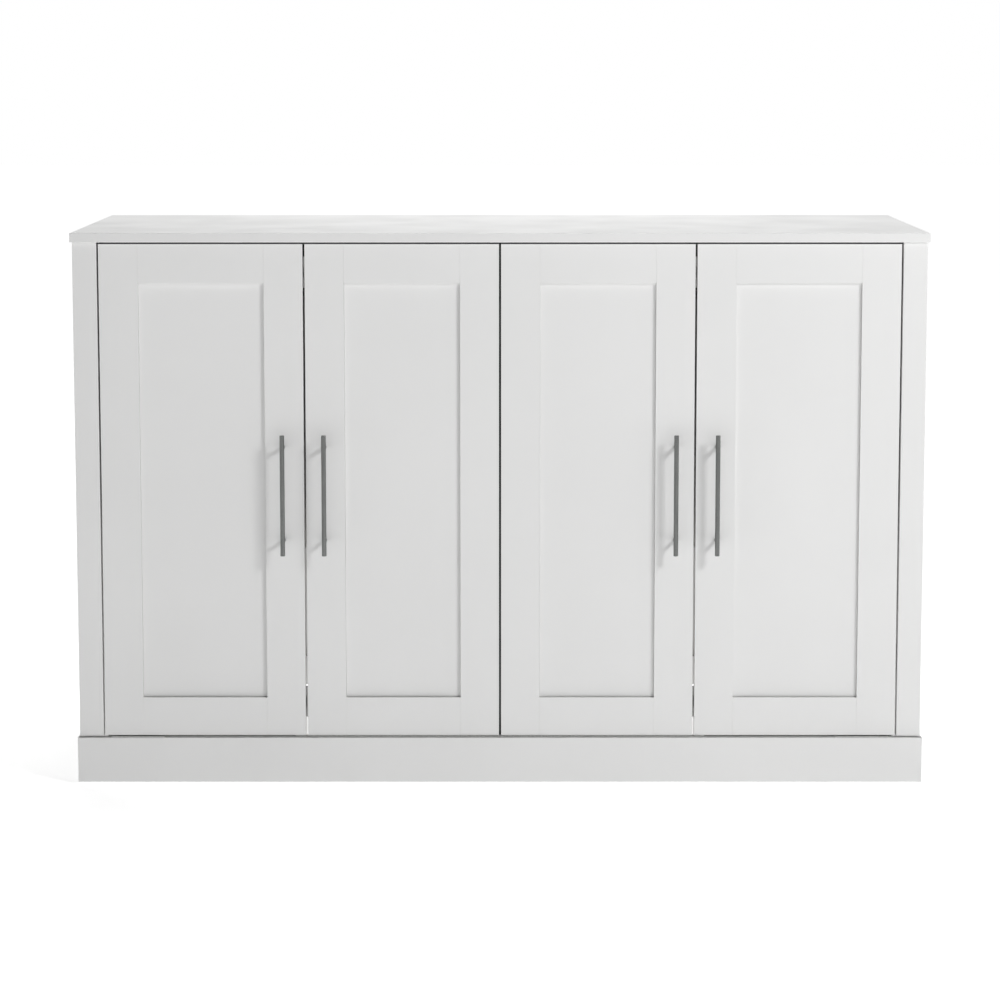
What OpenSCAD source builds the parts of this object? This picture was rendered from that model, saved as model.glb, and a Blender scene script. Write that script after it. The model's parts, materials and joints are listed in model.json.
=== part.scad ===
// Cabinet bed: a four-door cabinet whose front rolls out and draws a folding bed flat behind it.
// Frame: origin under the middle of the closed cabinet, +X to the right, -Y to the front, +Z up.

/* [Cabinet] */
// Overall width
cabinet_w = 1651; // [1640:1:1680]
// Overall height
cabinet_h = 1080; // [1078:1:1110]
// Thickness of the boards
board = 18; // [16:1:18]
// Height of the plinth board's top edge
plinth_top = 93; // [90:1:93]
// Width of the front stiles beside the doors
stile_w = 46.5; // [40:0.5:46.5]

/* [Doors] */
// Width of each door's stiles and rails
shaker_w = 75; // [60:1:80]
// Depth of the recess in front of the centre panel
recess = 6.5; // [4:0.5:7]
// Gap between neighbouring doors
door_gap = 4; // [3.5:0.5:4]
// Width of an inner door
inner_door_w = 373.5; // [368:0.5:374]

/* [Pulls] */
// Length of the bar
pull_len = 235; // [200:1:260]
// Diameter of the bar
pull_d = 9; // [8:0.5:10]
// Distance between the posts
pull_post_gap = 182; // [160:1:190]
// Projection of the bar's front from the door
pull_reach = 35; // [30:1:35]

/* [Bed] */
// Thickness of each mattress section
mattress_t = 98; // [80:1:98]
// Width of the mattress
mattress_w = 1484; // [1460:1:1484]
// Width of a bed slat
slat_w = 50; // [40:1:55]
// Number of slats in each section
slat_count = 7; // [5:1:8]

/* [Hidden] */
$fn = 48;
running = 0.05;          // radial clearance of a pin that turns in its hole
half_w = cabinet_w / 2;
top_z = cabinet_h - board;
front_y = -290;          // front edge of the top and face of the plinth
back_y = 320;            // back edge of the top
side_x = half_w - 4;     // outer face of the side panels and stiles
inside_x = side_x - board;
back_panel_low = 130;
back_rail_h = 62;
wall_screw_x = 400;
wall_screw_r = 4;
glide_h = 5;
brace_h = 45;            // corner braces: height, reach, width and sheet thickness
brace_reach = 28;
brace_w = 30;
brace_t = 2;
opening_x = side_x - stile_w;
door_face = -285;        // front faces of the doors and stiles
door_back = door_face + board;
door_mid = door_face + board / 2;
door_low = 97;
door_top = top_z - 3.5;

// Folding bed. V axes lie above the sleep surface, ridge axes below the frames.
axis_z = 452;            // height of the V axes, and of the mattress top when flat
span = 508;              // from a V axis to the next ridge axis along a section
pitch = 132;             // between neighbouring axes when folded
first_y = 303;           // V axis on the cabinet
function axis_y(i) = first_y - i * pitch;
ridge_z = axis_z + span;
pin_r = 6;               // V pins
rod_r = 5;               // ridge rods
lug_r = 9;
pad_t = 6;
slack = 2;               // from each axis to the section it serves
slat_t = 10;
rail = 20;               // section of the frame tubes
rail_w0 = pitch - slack - rail;
frame_x = 749;           // outer face of the bed frames
lug_t = 5;
lug_x = [frame_x, frame_x + 6.5]; // inner faces of the two lug layers
post_x = frame_x + 13;   // inner face of the posts and legs outside the lugs
post_t = 10;
leg_drop = 320;          // from a ridge axis down to the feet: the ridge's height when flat

// Rolling front frame
gate_y = -256;
tube = 25;
gate_post_x = 690;
gate_low = 60;
gate_top = 1055;
wheel_x = 600;
wheel_r = 25;
wheel_w = 24;
fork_half = 16.5;        // fork's half width and cheek thickness
fork_t = 3;
axle_r = 4;
gate_wheel_y = gate_y + tube / 2;

// Door hardware
outer_edge = opening_x - 3.5;
pivot_x = outer_edge - 32;
centre_gap = 2;
inner_edge = centre_gap + inner_door_w;
outer_near = inner_edge + door_gap;
fold_x = inner_edge + door_gap / 2;
fold_y = door_back + 3;
guide_x = 2 * fold_x - pivot_x;             // guide pin with the doors shut
guide_end_x = pivot_x - 2 * (fold_y - door_mid); // guide pin with the doors open
door_pin_r = 4;
slot_r = door_pin_r + 0.2;
track_z = top_z - 2.5;
track_t = 1.5;
hinge_z = [160, 1003];
hinge_h = 60;
knuckle_r = 3;
knuckle_half = 10;       // half height of the middle knuckle
knuckle_gap = 0.2;
leaf_reach = 40;
hinge_pin_r = 1.2;

paint = [0.93, 0.93, 0.92];
steel = [0.50, 0.51, 0.51];
black_steel = [0.16, 0.16, 0.17];
beech = [0.82, 0.68, 0.48];
ticking = [0.90, 0.89, 0.86];
rubber = [0.12, 0.12, 0.12];

// A box from its lowest to its highest corner
module block(low, high) { translate(low) cube(high - low); }
// Children drawn for the right side and mirrored to the left
module both() { children(); left() children(); }
module left() { mirror([1, 0, 0]) children(); }
// A flat plate across X, from an outline given as [y, z]
module plate_x(x, t) { translate([x, 0, 0]) rotate([90, 0, 90]) linear_extrude(t) children(); }
module rod_x(x0, x1, r, y, z) { translate([x0, y, z]) rotate([0, 90, 0]) cylinder(r = r, h = x1 - x0); }
module rod_z(x, y, z0, z1, r) { translate([x, y, z0]) cylinder(r = r, h = z1 - z0); }

// ---- Cabinet ----
module top_panel() color(paint) block([-half_w, front_y, top_z], [half_w, back_y, cabinet_h]);

module side_panel() color(paint) block([inside_x, door_back, glide_h], [side_x, back_y - 1, top_z]);

module front_stile() color(paint) block([opening_x, door_face, 95], [side_x, door_back, top_z]);

module wall_screw_holes() {
  for (x = [-wall_screw_x, wall_screw_x])
    translate([x, back_y - 30, top_z - back_rail_h / 2]) rotate([-90, 0, 0]) cylinder(r = wall_screw_r, h = 40);
}

module back_panel() color(paint) difference() {
  block([-inside_x, back_y - 6, back_panel_low], [inside_x, back_y - 1, top_z]);
  wall_screw_holes();
}

module back_rails() color(paint) difference() {
  for (z = [back_panel_low - back_rail_h, top_z - back_rail_h])
    block([-inside_x, back_y - 6 - board, z], [inside_x, back_y - 6, z + back_rail_h]);
  wall_screw_holes();
}

module corner_braces() color(steel) both() for (y = [-190, 40, 250]) {
  block([inside_x - brace_t, y, top_z - brace_h], [inside_x, y + brace_w, top_z]);
  block([inside_x - brace_reach, y, top_z - brace_t], [inside_x - brace_t, y + brace_w, top_z]);
}

module cabinet_glides() color(rubber) both() for (y = [door_back + 30, back_y - 40])
  rod_z(side_x - board / 2, y, 0, glide_h, 8);

module bed_brackets() color(black_steel) both() {
  plate_x(inside_x - 6, 6) translate([first_y - 25, axis_z - 40]) square([34, 80]);
  rod_x(lug_x[1], inside_x - 6, 10, first_y, axis_z);
  rod_x(lug_x[0] + 0.5, lug_x[1], pin_r, first_y, axis_z);
}

// ---- Bed sections: drawn as [x, depth from the sleep side, height above the V axis] ----
module place_section(k) {
  odd = k % 2 == 1;
  translate([0, axis_y(odd ? k - 1 : k), axis_z]) mirror([0, odd ? 1 : 0, 0]) children();
}

module v_lug() difference() {
  union() {
    circle(r = lug_r);
    polygon([[3, -8.4], [100, 10], [rail_w0 + 19, 10], [rail_w0 + 19, 45], [100, 45], [-2, 8.7]]);
  }
  circle(r = pin_r + running);
}

module ridge_lug() difference() {
  union() {
    translate([pitch, span]) circle(r = lug_r);
    polygon([[rail_w0 + 2, span - 46], [pitch - 4, span - 46], [pitch + 8.2, span - 3],
             [pitch - 6.5, span + 5], [rail_w0 + 2, span - 12]]);
  }
  translate([pitch, span]) circle(r = rod_r + running);
}

module section_frame(k) color(black_steel) place_section(k) {
  layer = k % 2 == 1 ? 0 : 1;
  both() {
    block([frame_x - rail, rail_w0, 12], [frame_x, rail_w0 + rail, span - 12]);
    plate_x(lug_x[layer], lug_t) v_lug();
    plate_x(lug_x[layer], lug_t) ridge_lug();
    if (layer == 1) {
      block([frame_x, rail_w0 + 2, 12], [lug_x[1], rail_w0 + 18, 44]);
      block([frame_x, rail_w0 + 2, span - 44], [lug_x[1], rail_w0 + 18, span - 18]);
    }
  }
  for (u = [12, (span - rail) / 2, span - 12 - rail])
    block([rail - frame_x, rail_w0, u], [frame_x - rail, rail_w0 + rail, u + rail]);
}

module section_slats(k) color(beech) place_section(k) {
  step = (span - 28 - slat_w) / (slat_count - 1);
  for (i = [0 : slat_count - 1])
    block([5 - frame_x, rail_w0 - slat_t, 14 + i * step], [frame_x - 5, rail_w0, 14 + i * step + slat_w]);
}

module section_mattress(k) color(ticking) place_section(k)
  block([-mattress_w / 2, rail_w0 - slat_t - mattress_t, slack],
        [mattress_w / 2, rail_w0 - slat_t, span - slack]);

// ---- Legs on the ridge rods, and their pads ----
module fold_legs(i) color(black_steel) {
  rod_x(-post_x, post_x, rod_r, axis_y(i), ridge_z);
  both() block([post_x, axis_y(i) - 15, ridge_z - leg_drop + pad_t],
               [post_x + post_t, axis_y(i) + 15, ridge_z + 12]);
}

module leg_pads(i) color(rubber) both()
  block([post_x - 0.5, axis_y(i) - 17, ridge_z - leg_drop],
        [post_x + post_t + 0.5, axis_y(i) + 17, ridge_z - leg_drop + pad_t]);

// ---- Casters ----
module forks(y) color(steel) both() {
  block([wheel_x - fork_half, y - 20, gate_low - 4], [wheel_x + fork_half, y + 20, gate_low]);
  for (x = [wheel_x - fork_half, wheel_x + fork_half - fork_t])
    block([x, y - 10, 13], [x + fork_t, y + 10, gate_low - 4]);
  rod_x(wheel_x - fork_half + 1, wheel_x + fork_half - 1, axle_r, y, wheel_r);
}

module wheel(y) color(rubber) difference() {
  rod_x(wheel_x - wheel_w / 2, wheel_x + wheel_w / 2, wheel_r, y, wheel_r);
  rod_x(wheel_x - wheel_w, wheel_x + wheel_w, axle_r + running, y, wheel_r);
}

// ---- Middle trestle ----
module trestle() color(black_steel) {
  y = axis_y(2);
  block([-post_x, y - tube / 2, gate_low], [post_x, y + tube / 2, gate_low + tube]);
  both() {
    block([post_x, y - 17, gate_low], [post_x + post_t, y + 17, axis_z + 15]);
    rod_x(lug_x[0] + 0.5, post_x, pin_r, y, axis_z);
  }
}

// ---- Rolling front frame ----
module gate_frame() color(black_steel) {
  y = axis_y(4);
  block([-post_x - post_t, gate_y, gate_low], [post_x + post_t, gate_y + tube, gate_low + tube]);
  block([-gate_post_x - tube, gate_y, gate_top - tube], [gate_post_x + tube, gate_y + tube, gate_top]);
  block([-tube / 2, gate_y, gate_low + tube], [tube / 2, gate_y + tube, gate_top - tube]);
  both() {
    block([gate_post_x, gate_y, gate_low + tube], [gate_post_x + tube, gate_y + tube, gate_top - tube]);
    block([post_x, y - 17, gate_low], [post_x + post_t, y + 17, axis_z + 15]);
    rod_x(lug_x[1] - 0.5, post_x, pin_r, y, axis_z);
    for (x = [300, 680]) block([x, front_y + board, gate_low], [x + 40, gate_y, gate_low + tube]);
  }
}

module plinth_board() color(paint) block([-half_w, front_y, 4], [half_w, front_y + board, plinth_top]);

module door_track() color(black_steel) {
  difference() {
    block([-opening_x + 5, door_face, track_z], [opening_x - 5, gate_y + tube, track_z + track_t]);
    both() {
      block([guide_x - slot_r, door_mid - slot_r, track_z - 1],
            [guide_end_x + slot_r, door_mid + slot_r, top_z]);
      rod_z(pivot_x, door_mid, track_z - 1, top_z, door_pin_r + running);
    }
  }
  for (x = [-702, -350, 0, 350, 702])
    block([x - 12, gate_y + 2, gate_top], [x + 12, gate_y + tube - 2, track_z]);
}

module pivot_plates() color(steel) both() difference() {
  block([655, front_y + 2, plinth_top], [760, gate_y - 6, plinth_top + 2]);
  rod_z(pivot_x, door_mid, plinth_top - 1, plinth_top + 3, door_pin_r + running);
}

module wear_strip() color(steel) block([-400, front_y + 8, plinth_top], [400, front_y + 16, plinth_top + 2.5]);

// ---- Doors, drawn for the right side ----
module door_frame(x0, x1, pin_x, low_pin) color(paint) difference() {
  union() {
    for (x = [x0, x1 - shaker_w]) block([x, door_face, door_low], [x + shaker_w, door_back, door_top]);
    for (z = [door_low, door_top - shaker_w])
      block([x0 + shaker_w + 0.1, door_face, z], [x1 - shaker_w - 0.1, door_back, z + shaker_w]);
  }
  rod_z(pin_x, door_mid, door_top - 30, door_top + 1, door_pin_r + running);
  if (low_pin) rod_z(pin_x, door_mid, door_low - 1, door_low + 30, door_pin_r + running);
}

module door_panel(x0, x1) color(paint)
  block([x0 + shaker_w, door_face + recess, door_low + shaker_w],
        [x1 - shaker_w, door_back - 2, door_top - shaker_w]);

module pull(x) color(steel) {
  mid_z = (door_low + door_top) / 2 - 3;
  bar_y = door_face - pull_reach + pull_d / 2;
  rod_z(x, bar_y, mid_z - pull_len / 2, mid_z + pull_len / 2, pull_d / 2);
  for (z = [mid_z - pull_post_gap / 2, mid_z + pull_post_gap / 2])
    translate([x, bar_y + pull_d / 2 + 0.1, z]) rotate([-90, 0, 0])
      cylinder(r = 4, h = door_face - bar_y - pull_d / 2 - 0.1);
}

module outer_frame() door_frame(outer_near, outer_edge, pivot_x, true);
module inner_frame() door_frame(centre_gap, inner_edge, guide_x, false);
module outer_panel() door_panel(outer_near, outer_edge);
module inner_panel() door_panel(centre_gap, inner_edge);
module outer_pull() pull(outer_near + 40);
module inner_pull() pull(inner_edge - 36);

module hinge_outer_leaves() color(steel) for (z = hinge_z) {
  block([fold_x + knuckle_r, door_back, z - hinge_h / 2], [fold_x + leaf_reach, door_back + 2, z + hinge_h / 2]);
  for (low = [z - hinge_h / 2, z + knuckle_half + knuckle_gap]) {
    rod_z(fold_x, fold_y, low, low + hinge_h / 2 - knuckle_half - knuckle_gap, knuckle_r);
    block([fold_x, door_back, low], [fold_x + knuckle_r, door_back + 2, low + hinge_h / 2 - knuckle_half - knuckle_gap]);
  }
  rod_z(fold_x, fold_y, z - hinge_h / 2, z + hinge_h / 2, hinge_pin_r);
}

module hinge_inner_leaves() color(steel) for (z = hinge_z) difference() {
  union() {
    block([fold_x - leaf_reach, door_back, z - hinge_h / 2], [fold_x - knuckle_r, door_back + 2, z + hinge_h / 2]);
    rod_z(fold_x, fold_y, z - knuckle_half, z + knuckle_half, knuckle_r);
    block([fold_x - knuckle_r, door_back, z - knuckle_half], [fold_x, door_back + 2, z + knuckle_half]);
  }
  rod_z(fold_x, fold_y, z - knuckle_half - 1, z + knuckle_half + 1, hinge_pin_r + running);
}

module pivot_pins() color(steel) {
  rod_z(pivot_x, door_mid, door_top - 30, track_z + track_t - 0.1, door_pin_r);
  rod_z(pivot_x, door_mid, plinth_top + 0.2, door_low + 30, door_pin_r);
}

module guide_pin() color(steel) rod_z(guide_x, door_mid, door_top - 30, track_z + track_t - 0.1, door_pin_r);

top_panel();
left() side_panel();  // left_side_panel
side_panel();  // right_side_panel
left() front_stile();  // left_front_stile
front_stile();  // right_front_stile
back_panel();
back_rails();
corner_braces();
cabinet_glides();
bed_brackets();
for (k = [1 : 4]) {
  section_frame(k);
  section_slats(k);
  section_mattress(k);
}
fold_legs(1);  // rear_legs
leg_pads(1);  // rear_leg_pads
fold_legs(3);  // front_legs
leg_pads(3);  // front_leg_pads
trestle();
forks(axis_y(2));  // trestle_forks
left() wheel(axis_y(2));  // trestle_wheel_left
wheel(axis_y(2));  // trestle_wheel_right
gate_frame();
forks(gate_wheel_y);  // gate_forks
left() wheel(gate_wheel_y);  // gate_wheel_left
wheel(gate_wheel_y);  // gate_wheel_right
plinth_board();
door_track();
pivot_plates();
wear_strip();
left() outer_frame();  // door_1_frame
left() outer_panel();  // door_1_panel
left() outer_pull();  // door_1_pull
left() inner_frame();  // door_2_frame
left() inner_panel();  // door_2_panel
left() inner_pull();  // door_2_pull
inner_frame();  // door_3_frame
inner_panel();  // door_3_panel
inner_pull();  // door_3_pull
outer_frame();  // door_4_frame
outer_panel();  // door_4_panel
outer_pull();  // door_4_pull
left() hinge_outer_leaves();  // left_hinge_outer_leaves
left() hinge_inner_leaves();  // left_hinge_inner_leaves
hinge_outer_leaves();  // right_hinge_outer_leaves
hinge_inner_leaves();  // right_hinge_inner_leaves
left() pivot_pins();  // left_pivot_pins
left() guide_pin();  // left_guide_pin
pivot_pins();  // right_pivot_pins
guide_pin();  // right_guide_pin
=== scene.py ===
"""Looks for the cabinet bed.

Painted boards, brushed pulls, powder-coated frames, beech slats and a quilted mattress in four sections.
"""

import json
import math

import bmesh
import bpy
from mathutils import Matrix, Vector


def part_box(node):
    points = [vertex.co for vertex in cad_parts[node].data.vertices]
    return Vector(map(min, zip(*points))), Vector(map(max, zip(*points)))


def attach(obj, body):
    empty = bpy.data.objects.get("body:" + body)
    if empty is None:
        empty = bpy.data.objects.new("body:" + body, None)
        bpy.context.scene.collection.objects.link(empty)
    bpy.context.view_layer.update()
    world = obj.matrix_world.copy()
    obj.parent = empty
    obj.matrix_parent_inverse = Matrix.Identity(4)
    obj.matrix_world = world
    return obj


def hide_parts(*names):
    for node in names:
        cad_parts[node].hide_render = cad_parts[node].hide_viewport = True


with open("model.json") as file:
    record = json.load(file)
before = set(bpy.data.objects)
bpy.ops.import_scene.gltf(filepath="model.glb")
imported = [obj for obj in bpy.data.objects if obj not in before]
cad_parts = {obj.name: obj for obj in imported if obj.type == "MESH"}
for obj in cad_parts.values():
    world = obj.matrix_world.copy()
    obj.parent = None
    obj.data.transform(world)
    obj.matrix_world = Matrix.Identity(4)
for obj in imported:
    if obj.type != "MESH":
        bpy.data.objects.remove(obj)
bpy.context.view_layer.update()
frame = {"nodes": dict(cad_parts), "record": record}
NODES = frame["nodes"]
SLOT_OF = {part["node"]: part["material_slot"] for part in frame["record"]["subparts"]}
BODY_OF = {n: b for b, names in frame["record"]["behaviour"]["bodies"].items() for n in names}
MM = 0.001


# ---- Camera, floor and light ----
CAMERA_PLACE = Vector((0.0, -5.7635, 1.4273))
CAMERA_PITCH = math.radians(6.571)
CAMERA_LENS = 102.94
CAMERA_SHIFT = -0.12
AMBIENT = 0.03
FLOOR_GLOW = 0.66         # near the object; it rises to 1 between these two distances
GLOW_NEAR = 2.2
GLOW_FAR = 4.5
FLOOR_SIZE = 60.0
# Each light: name, place, target, size and power in watts.
LIGHTS = (("key", (2.7, -2.8, 2.8), (0.0, -0.3, 0.5), (0.9, 0.9), 70.0),
          ("overhead", (0.0, 0.9, 3.4), (0.0, 0.2, 1.0), (2.6, 1.6), 86.0))


def make_camera():
    """The camera in front of the cabinet, a little above it and tilted down."""
    data = bpy.data.cameras.new("camera")
    data.lens = CAMERA_LENS
    data.sensor_width = 36.0
    data.shift_y = CAMERA_SHIFT
    data.clip_end = 100.0
    camera = bpy.data.objects.new("camera", data)
    bpy.context.scene.collection.objects.link(camera)
    camera.location = CAMERA_PLACE
    camera.rotation_euler = (math.pi / 2 - CAMERA_PITCH, 0.0, 0.0)
    bpy.context.scene.camera = camera


def make_light(name, place, target, size, power):
    """A rectangular area light that faces its target."""
    data = bpy.data.lights.new(name, "AREA")
    data.shape = "RECTANGLE"
    data.size, data.size_y = size
    data.energy = power
    light = bpy.data.objects.new(name, data)
    bpy.context.scene.collection.objects.link(light)
    light.location = place
    light.rotation_euler = (Vector(target) - Vector(place)).to_track_quat("-Z", "Y").to_euler()


def make_stage():
    """A white floor that glows more with distance, a white backdrop and the two lights."""
    bpy.ops.mesh.primitive_plane_add(size=FLOOR_SIZE, location=(0.0, 0.0, 0.0))
    floor = bpy.context.object
    floor.name = "floor"
    material, shader, tree = new_material("floor_white")
    shader.inputs["Base Color"].default_value = (0.93, 0.93, 0.93, 1.0)
    shader.inputs["Roughness"].default_value = 0.9
    shader.inputs["Emission Color"].default_value = grey(1.0)
    place = add(tree, "ShaderNodeTexCoord")
    reach = add(tree, "ShaderNodeVectorMath", operation="LENGTH")
    glow = add(tree, "ShaderNodeMapRange")
    limits = {"From Min": GLOW_NEAR, "From Max": GLOW_FAR, "To Min": FLOOR_GLOW, "To Max": 1.0}
    for key, value in limits.items():
        glow.inputs[key].default_value = value
    tree.links.new(place.outputs["Object"], reach.inputs[0])
    tree.links.new(reach.outputs["Value"], glow.inputs["Value"])
    tree.links.new(glow.outputs["Result"], shader.inputs["Emission Strength"])
    floor.data.materials.append(material)
    world = bpy.data.worlds.new("studio")
    world.use_nodes = True
    ambient = world.node_tree.nodes["Background"]
    ambient.inputs["Color"].default_value = grey(1.0)
    ambient.inputs["Strength"].default_value = AMBIENT
    backdrop = add(world.node_tree, "ShaderNodeBackground", Color=grey(1.0), Strength=1.0)
    seen = add(world.node_tree, "ShaderNodeLightPath")
    mix = add(world.node_tree, "ShaderNodeMixShader")
    links = world.node_tree.links
    links.new(seen.outputs["Is Camera Ray"], mix.inputs["Fac"])
    links.new(ambient.outputs["Background"], mix.inputs[1])
    links.new(backdrop.outputs["Background"], mix.inputs[2])
    links.new(mix.outputs["Shader"], world.node_tree.nodes["World Output"].inputs["Surface"])
    bpy.context.scene.world = world
    bpy.context.scene.view_settings.view_transform = "Standard"
    for light in LIGHTS:
        make_light(*light)


# ---- Materials ----
def new_material(name):
    """A new node material, its main shader and its node tree."""
    material = bpy.data.materials.new(name)
    material.use_nodes = True
    tree = material.node_tree
    return material, tree.nodes["Principled BSDF"], tree


def add(tree, kind, **values):
    """A new node, with each value put in the input or the setting of that name."""
    made = tree.nodes.new(kind)
    for key, value in values.items():
        if key in made.inputs:
            made.inputs[key].default_value = value
        else:
            setattr(made, key, value)
    return made


def stretched(tree, scale):
    """Object coordinates in metres, scaled along each axis."""
    place = add(tree, "ShaderNodeTexCoord")
    mapping = add(tree, "ShaderNodeMapping", Scale=scale)
    tree.links.new(place.outputs["Object"], mapping.inputs["Vector"])
    return mapping.outputs["Vector"]


def noise(tree, scale, detail=3.0, stretch=(1.0, 1.0, 1.0)):
    """A noise value that stays with the object."""
    made = add(tree, "ShaderNodeTexNoise", Scale=scale, Detail=detail)
    tree.links.new(stretched(tree, stretch), made.inputs["Vector"])
    return made.outputs["Fac"]


def ramp(tree, factor, low, high, start=0.3, end=0.7):
    """A colour that goes from low to high as the factor goes from start to end."""
    made = add(tree, "ShaderNodeValToRGB")
    made.color_ramp.elements[0].position = start
    made.color_ramp.elements[0].color = low
    made.color_ramp.elements[1].position = end
    made.color_ramp.elements[1].color = high
    tree.links.new(factor, made.inputs["Fac"])
    return made.outputs["Color"]


def grey(value):
    return (value, value, value, 1.0)


def roughen(tree, shader, factor, low, high):
    """Roughness that varies between low and high with the factor."""
    tree.links.new(ramp(tree, factor, grey(low), grey(high)), shader.inputs["Roughness"])


def bump(tree, shader, height, distance):
    """Fine relief of the given depth in metres."""
    made = add(tree, "ShaderNodeBump", Distance=distance, Strength=1.0)
    tree.links.new(height, made.inputs["Height"])
    tree.links.new(made.outputs["Normal"], shader.inputs["Normal"])


def white_paint():
    """Sprayed satin paint: a fine orange peel and a slight unevenness of gloss and tone."""
    material, shader, tree = new_material("white_paint")
    tone = ramp(tree, noise(tree, 3.0), (0.845, 0.845, 0.84, 1.0), (0.87, 0.87, 0.865, 1.0))
    tree.links.new(tone, shader.inputs["Base Color"])
    roughen(tree, shader, noise(tree, 9.0), 0.36, 0.44)
    bump(tree, shader, noise(tree, 420.0, 2.0), 0.00006)
    return material


def slat_wood():
    """Lacquered beech with the grain along X."""
    material, shader, tree = new_material("slat_wood")
    grain = noise(tree, 60.0, 6.0, (0.05, 1.0, 1.0))
    tone = ramp(tree, grain, (0.50, 0.33, 0.17, 1.0), (0.72, 0.54, 0.33, 1.0))
    tree.links.new(tone, shader.inputs["Base Color"])
    roughen(tree, shader, grain, 0.42, 0.58)
    bump(tree, shader, grain, 0.0002)
    return material


def black_steel():
    """Black powder coat with a fine pebbled surface."""
    material, shader, tree = new_material("black_steel")
    tone = ramp(tree, noise(tree, 25.0), (0.022, 0.022, 0.024, 1.0), (0.038, 0.038, 0.04, 1.0))
    tree.links.new(tone, shader.inputs["Base Color"])
    roughen(tree, shader, noise(tree, 60.0), 0.45, 0.6)
    bump(tree, shader, noise(tree, 900.0, 2.0), 0.00008)
    return material


def brushed(name, dark, light, stretch, smooth, rough):
    """Brushed metal, with its lines drawn out along the axis where stretch is small."""
    material, shader, tree = new_material(name)
    lines = noise(tree, 900.0, 4.0, stretch)
    tree.links.new(ramp(tree, lines, dark, light), shader.inputs["Base Color"])
    shader.inputs["Metallic"].default_value = 1.0
    roughen(tree, shader, lines, smooth, rough)
    bump(tree, shader, lines, 0.00002)
    return material


def pull_steel():
    """Dark brushed steel, with its lines along the bar."""
    dark, light = (0.12, 0.125, 0.122, 1.0), (0.21, 0.215, 0.21, 1.0)
    return brushed("pull_steel", dark, light, (1.0, 1.0, 0.02), 0.20, 0.32)


def plated_steel():
    """Zinc-plated steel for hinges, pins and plates."""
    dark, light = (0.48, 0.48, 0.47, 1.0), (0.66, 0.66, 0.65, 1.0)
    return brushed("plated_steel", dark, light, (0.3, 1.0, 0.3), 0.28, 0.42)


def ticking():
    """Cotton ticking: a plain weave of about 1 mm threads, with soft mottling."""
    material, shader, tree = new_material("ticking")
    tone = ramp(tree, noise(tree, 14.0), (0.765, 0.755, 0.72, 1.0), (0.79, 0.78, 0.745, 1.0))
    tree.links.new(tone, shader.inputs["Base Color"])
    shader.inputs["Roughness"].default_value = 0.85
    shader.inputs["Sheen Weight"].default_value = 0.25
    threads = []
    for axis in ("X", "Z"):
        wave = add(tree, "ShaderNodeTexWave", wave_type="BANDS", bands_direction=axis,
                   Scale=300.0, Distortion=0.6)
        tree.links.new(stretched(tree, (1.0, 1.0, 1.0)), wave.inputs["Vector"])
        threads.append(wave.outputs["Fac"])
    cloth = add(tree, "ShaderNodeMath", operation="MULTIPLY")
    for i, thread in enumerate(threads):
        tree.links.new(thread, cloth.inputs[i])
    bump(tree, shader, cloth.outputs["Value"], 0.0003)
    return material


def rubber():
    """Matt black rubber of the wheels and feet."""
    material, shader, tree = new_material("rubber")
    tree.links.new(ramp(tree, noise(tree, 80.0), grey(0.02), grey(0.04)), shader.inputs["Base Color"])
    roughen(tree, shader, noise(tree, 120.0), 0.7, 0.85)
    bump(tree, shader, noise(tree, 500.0), 0.0001)
    return material


MAKERS = (white_paint, slat_wood, black_steel, pull_steel, plated_steel, ticking, rubber)


# ---- Boards, bars and plates: each CAD shape with its edges eased ----
EDGE = {"white_paint": 1.2 * MM, "slat_wood": 2.0 * MM, "black_steel": 0.8 * MM, "pull_steel": 0.7 * MM,
        "plated_steel": 0.3 * MM, "rubber": 1.0 * MM}
FACET_ANGLE = math.radians(1.0)      # faces that meet flatter than this become one
SHARP_ANGLE = math.radians(40.0)     # edges sharper than this are rounded
CREASE_ANGLE = math.radians(50.0)    # edges sharper than this stay creased in the shading
WELD = 0.01 * MM
SMALL_EDGE = {"door_track": 0.3 * MM, "back_panel": 0.4 * MM}
PLAIN = ("left_hinge_outer_leaves", "left_hinge_inner_leaves", "right_hinge_outer_leaves",
         "right_hinge_inner_leaves")


def eased_copy(node):
    """A copy of a node's shape whose sharp edges are rounded, inside the same box."""
    made = bmesh.new()
    made.from_mesh(NODES[node].data)
    bmesh.ops.remove_doubles(made, verts=made.verts, dist=WELD)
    bmesh.ops.dissolve_limit(made, angle_limit=FACET_ANGLE, verts=made.verts, edges=made.edges)
    sharp = [e for e in made.edges if len(e.link_faces) == 2 and e.calc_face_angle(0.0) > SHARP_ANGLE]
    width = SMALL_EDGE.get(node, EDGE[SLOT_OF[node]])
    bmesh.ops.bevel(made, geom=sharp, offset=width, segments=2, profile=0.5, affect="EDGES",
                    clamp_overlap=True)
    mesh = bpy.data.meshes.new(node + "_eased")
    made.to_mesh(mesh)
    made.free()
    piece = bpy.data.objects.new(node + "_eased", mesh)
    bpy.context.scene.collection.objects.link(piece)
    mesh.shade_smooth()
    mesh.set_sharp_from_angle(angle=CREASE_ANGLE)
    even = piece.modifiers.new("even_faces", "WEIGHTED_NORMAL")
    even.keep_sharp = True
    even.weight = 100
    return piece


# ---- Mattress sections ----
CELL = 10.0 * MM          # grid spacing of the mattress surface
QUILT = 126.0 * MM        # across one quilted diamond
QUILT_DEPTH = 7.0 * MM
CROWN = 8.0 * MM          # how far the edges sit below the middle of each face
CORNER = 16.0 * MM
TAPE_R = 3.2 * MM
SIDE_PULL = 2.5 * MM      # how far the sides draw in at the seams
SEWN_BELOW = 0.35         # quilting height under which the cover is sewn down
MOST_PUFF = 3.0 * MM
ROOM_TO_PUFF = 1.5 * MM
LAST_FRAME = 20           # of the cloth simulation
TAPE_INSET = TAPE_R + 2.0 * MM
TAPE_STEPS = 6            # straight pieces of tape round each corner


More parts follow.
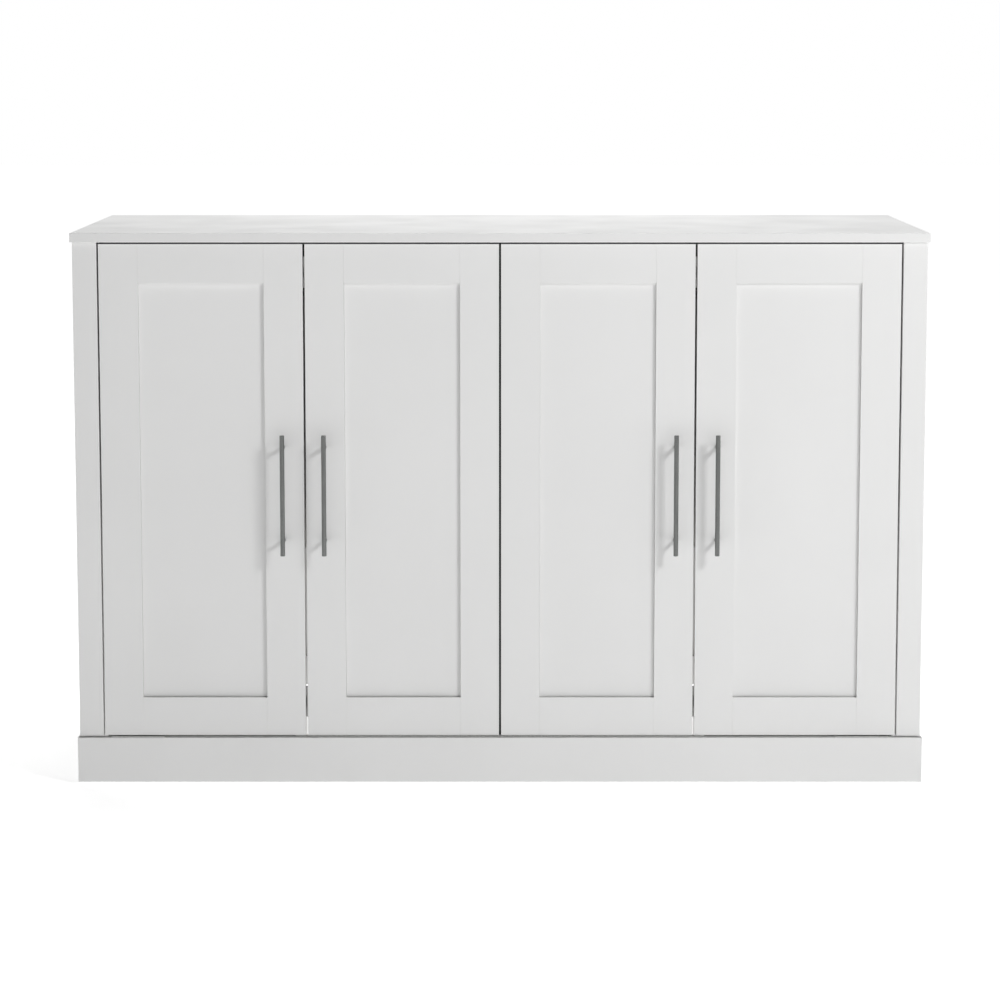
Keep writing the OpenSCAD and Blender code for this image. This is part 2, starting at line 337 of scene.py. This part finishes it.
def rounded(point, half):
    """The point of a box with rounded edges nearest to a point on the sharp box."""
    core = Vector([max(CORNER - h, min(h - CORNER, c)) for c, h in zip(point, half)])
    out = point - core
    return core + out.normalized() * CORNER if out.length > 0 else point.copy()


def quilted(x, z):
    """0 on the sewn diagonals, 1 in the middle of a diamond."""
    a = abs(math.sin(math.pi * (x + z) / QUILT))
    b = abs(math.sin(math.pi * (x - z) / QUILT))
    return (a * b) ** 0.45


def mattress_blank(half):
    """An unfilled mattress cover about the origin, and the weight with which each point is sewn down."""
    made = bmesh.new()
    bmesh.ops.create_cube(made, size=2.0)
    for vert in made.verts:
        vert.co = Vector([c * h for c, h in zip(vert.co, half)])
    for axis in range(3):
        count = max(2, int(2 * half[axis] / CELL))
        for i in range(1, count):
            place = Vector((0.0, 0.0, 0.0))
            place[axis] = -half[axis] + 2 * half[axis] * i / count
            normal = Vector((0.0, 0.0, 0.0))
            normal[axis] = 1.0
            whole = made.verts[:] + made.edges[:] + made.faces[:]
            bmesh.ops.bisect_plane(made, geom=whole, plane_co=place, plane_no=normal)
    sewn = []
    for vert in made.verts:
        x, y, z = vert.co
        side = abs(y) / half.y
        point = rounded(vert.co, half)
        if side > 0.99:
            fade = max(0.0, 1.0 - max(abs(x) / half.x, abs(z) / half.z) ** 10)
            stitch = QUILT_DEPTH * (1.0 - quilted(x, z)) + ROOM_TO_PUFF
            point.y -= math.copysign(CROWN * (1.0 - fade) + stitch * fade, y)
            sewn.append(1.0 if quilted(x, z) < SEWN_BELOW or fade < 0.2 else 0.0)
        else:
            pull_in = SIDE_PULL * (1.0 - math.cos(math.pi * side))
            for axis, h in ((0, half.x), (2, half.z)):
                if abs(vert.co[axis]) > h * 0.995:
                    point[axis] -= math.copysign(pull_in, vert.co[axis])
            sewn.append(1.0 if side > 0.85 else 0.0)
        vert.co = point
    mesh = bpy.data.meshes.new("mattress_cover")
    made.to_mesh(mesh)
    made.free()
    return mesh, sewn


def fill_cover(mesh, sewn, half):
    """Blows the cover up by cloth simulation between its sewn lines, and keeps it inside its box."""
    scene = bpy.context.scene
    cover = bpy.data.objects.new("mattress_cover", mesh)
    scene.collection.objects.link(cover)
    group = cover.vertex_groups.new(name="sewn")
    group.add([i for i, weight in enumerate(sewn) if weight > 0.5], 1.0, "REPLACE")
    cloth = cover.modifiers.new("cloth", "CLOTH")
    cloth.settings.quality = 5
    cloth.settings.mass = 0.2
    cloth.settings.shrink_min = -0.03
    cloth.settings.vertex_group_mass = "sewn"
    cloth.settings.use_pressure = True
    cloth.settings.uniform_pressure_force = 4.0
    cloth.settings.effector_weights.gravity = 0.0
    cloth.point_cache.frame_start = 1
    cloth.point_cache.frame_end = LAST_FRAME
    for step in range(1, LAST_FRAME + 1):
        scene.frame_set(step)
    filled = cover.evaluated_get(bpy.context.evaluated_depsgraph_get()).to_mesh()
    moved = [vert.co.copy() for vert in filled.vertices]
    bpy.data.objects.remove(cover)
    for vert, target in zip(mesh.vertices, moved):
        step = target - vert.co
        if step.length > MOST_PUFF:
            step = step.normalized() * MOST_PUFF
        point = vert.co + step
        vert.co = [max(-h, min(h, c)) for c, h in zip(point, half)]
    scene.frame_set(1)


def mattress_piece(node, cover_mesh, middle):
    """One mattress section: the filled cover, moved to its node's place."""
    mesh = cover_mesh.copy()
    mesh.name = node + "_quilt"
    mesh.transform(Matrix.Translation(middle))
    mesh.shade_smooth()
    piece = bpy.data.objects.new(node + "_quilt", mesh)
    bpy.context.scene.collection.objects.link(piece)
    return piece


def edge_tape(node, middle, half):
    """The sewn tape round both rims of a mattress section."""
    curve = bpy.data.curves.new(node + "_tape", "CURVE")
    curve.dimensions = "3D"
    curve.bevel_depth = TAPE_R
    curve.bevel_resolution = 2
    reach_x = half.x - TAPE_INSET - CORNER
    reach_z = half.z - TAPE_INSET - CORNER
    for side in (-1, 1):
        spline = curve.splines.new("POLY")
        points = []
        for quarter, (sx, sz) in enumerate(((1, 1), (-1, 1), (-1, -1), (1, -1))):
            for step in range(TAPE_STEPS + 1):
                turn = math.radians(90 * (quarter + step / TAPE_STEPS))
                points.append((middle.x + sx * reach_x + CORNER * math.cos(turn),
                               middle.y + side * (half.y - CROWN - TAPE_R),
                               middle.z + sz * reach_z + CORNER * math.sin(turn), 1.0))
        spline.points.add(len(points) - 1)
        for point, co in zip(spline.points, points):
            point.co = co
        spline.use_cyclic_u = True
    piece = bpy.data.objects.new(node + "_tape", curve)
    bpy.context.scene.collection.objects.link(piece)
    return piece


# ---- Build ----
make_camera()
make_stage()
MATERIALS = {maker.__name__: maker() for maker in MAKERS}


def dress(piece, node):
    """Gives a new piece its node's finish, and makes it ride where the node rides."""
    slot = SLOT_OF[node]
    piece.data.materials.clear()
    piece.data.materials.append(MATERIALS[slot])
    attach(piece, BODY_OF[node])


first_low, first_high = (Vector(corner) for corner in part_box("section_1_mattress"))
quilt_half = (first_high - first_low) / 2
cover_blank, cover_sewn = mattress_blank(quilt_half)
fill_cover(cover_blank, cover_sewn, quilt_half)

for node_name, node_object in NODES.items():
    if SLOT_OF[node_name] == "ticking":
        low, high = (Vector(corner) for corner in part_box(node_name))
        quilt_middle = (low + high) / 2
        quilt = mattress_piece(node_name, cover_blank, quilt_middle)
        dress(quilt, node_name)
        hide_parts(node_name)
        dress(edge_tape(node_name, quilt_middle, quilt_half), node_name)
    elif node_name in PLAIN:
        for slot_entry in node_object.material_slots:
            slot_entry.material = MATERIALS[SLOT_OF[node_name]]
    else:
        eased = eased_copy(node_name)
        dress(eased, node_name)
        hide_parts(node_name)
